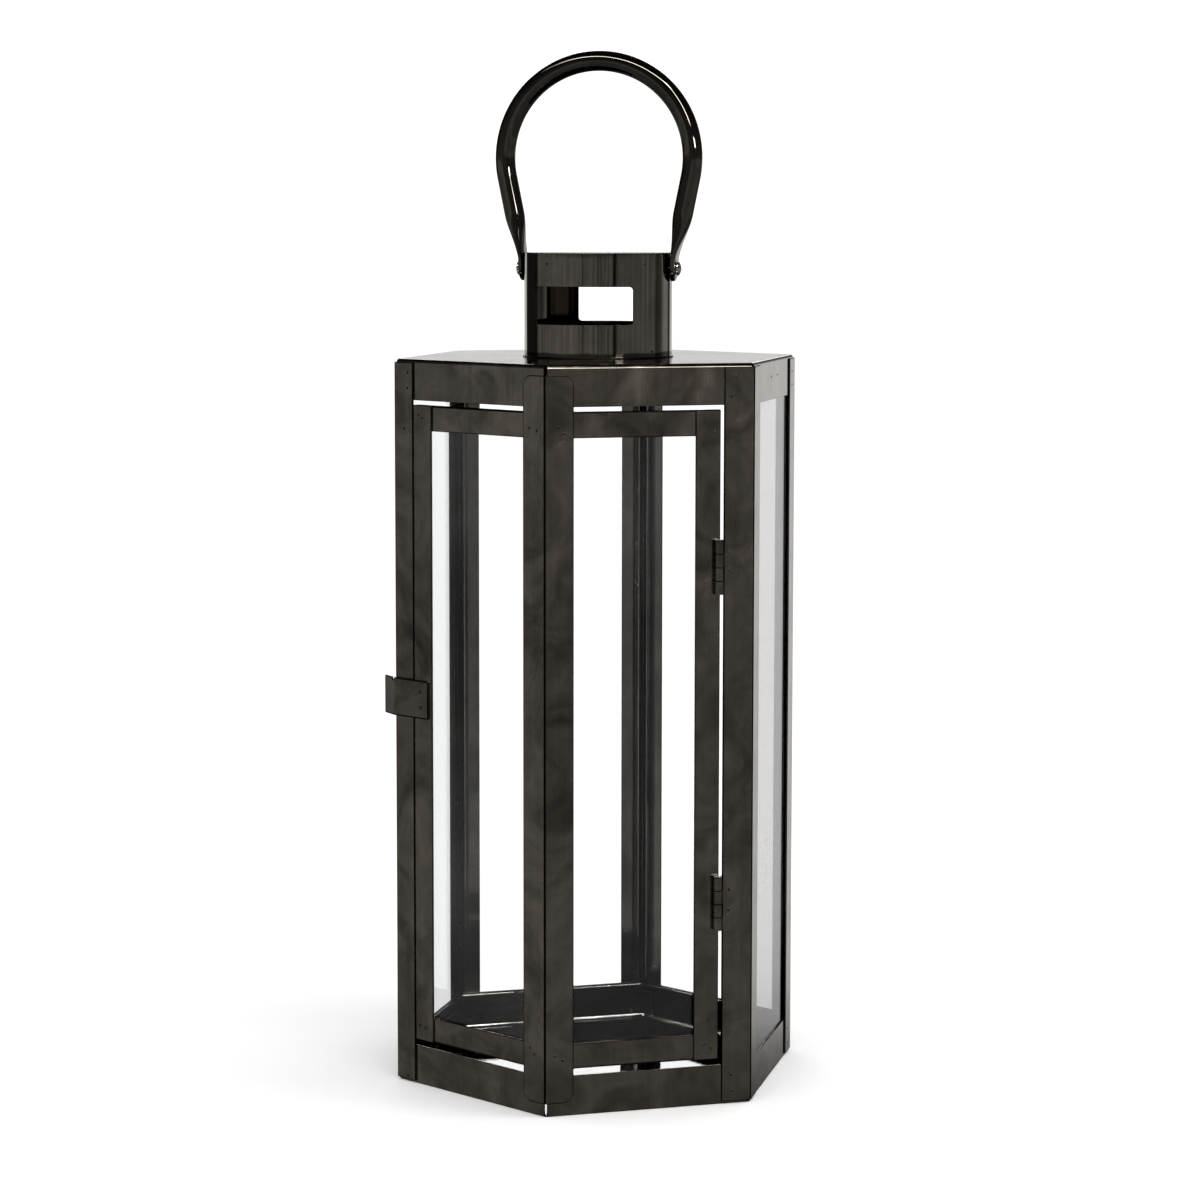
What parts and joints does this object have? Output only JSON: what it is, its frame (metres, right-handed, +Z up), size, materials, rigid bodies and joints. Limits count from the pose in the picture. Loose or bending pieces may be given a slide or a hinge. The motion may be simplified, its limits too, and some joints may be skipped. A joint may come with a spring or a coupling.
{
  "type": "hexagonal candle lantern",
  "caption": "Hexagonal candle lantern of folded metal and glass, with an L-shaped hinged door, a vented collar and a swinging ring handle.",
  "frame": {"origin": "centre of the underside of the base, on the floor", "axes": "+Z up; the front corner with the door points to -Y; the handle turns about a line along X"},
  "size_m": [0.2261, 0.2505, 0.6144],
  "materials": {
    "black_nickel": "polished black nickel plate on folded steel sheet",
    "dark_nickel": "darker plated strip, dull inside its folds",
    "glass": "clear float glass, ground edges",
    "screw_steel": "bright zinc plated steel"
  },
  "bodies": {
    "frame": {"top_cap": "black_nickel", "base_tray": "black_nickel", "post_left": "black_nickel", "post_hinge": "black_nickel", "post_right": "black_nickel", "post_back": "black_nickel", "post_back_left": "black_nickel", "strip_left": "dark_nickel", "strip_hinge": "dark_nickel", "strip_right": "dark_nickel", "strip_back": "dark_nickel", "strip_back_left": "dark_nickel", "pane_right": "glass", "pane_back_right": "glass", "pane_back_left": "glass", "pane_left": "glass", "ledges_lower": "dark_nickel", "ledges_upper": "dark_nickel", "collar": "black_nickel", "collar_lid": "black_nickel", "collar_ring": "black_nickel", "handle_screws": "screw_steel", "handle_nuts": "screw_steel", "hinge_post_leaf_high": "black_nickel", "hinge_post_leaf_low": "black_nickel", "hinge_pin_high": "dark_nickel", "hinge_pin_low": "dark_nickel"},
    "door": {"door_corner_post": "black_nickel", "door_latch_stile": "black_nickel", "door_hinge_stile": "black_nickel", "door_rail_top_left": "black_nickel", "door_rail_top_right": "black_nickel", "door_rail_bottom_left": "black_nickel", "door_rail_bottom_right": "black_nickel", "door_pane_left": "glass", "door_pane_right": "glass", "door_corner_strip": "dark_nickel", "hinge_door_leaf_high": "black_nickel", "hinge_door_leaf_low": "black_nickel", "latch_plate": "black_nickel", "latch_rivets": "dark_nickel"},
    "handle": {"handle_bail": "black_nickel"}
  },
  "joints": [
    {"name": "door_swing", "type": "hinge", "parent": "frame", "child": "door", "pos_m": [0.09068, -0.07646, 0], "axis": [0, 0, 1], "range_deg": [0, 180]},
    {"name": "handle_swing", "type": "hinge", "parent": "frame", "child": "handle", "pos_m": [0, 0, 0.4855], "axis": [1, 0, 0], "range_deg": [-111, 111]}
  ]
}
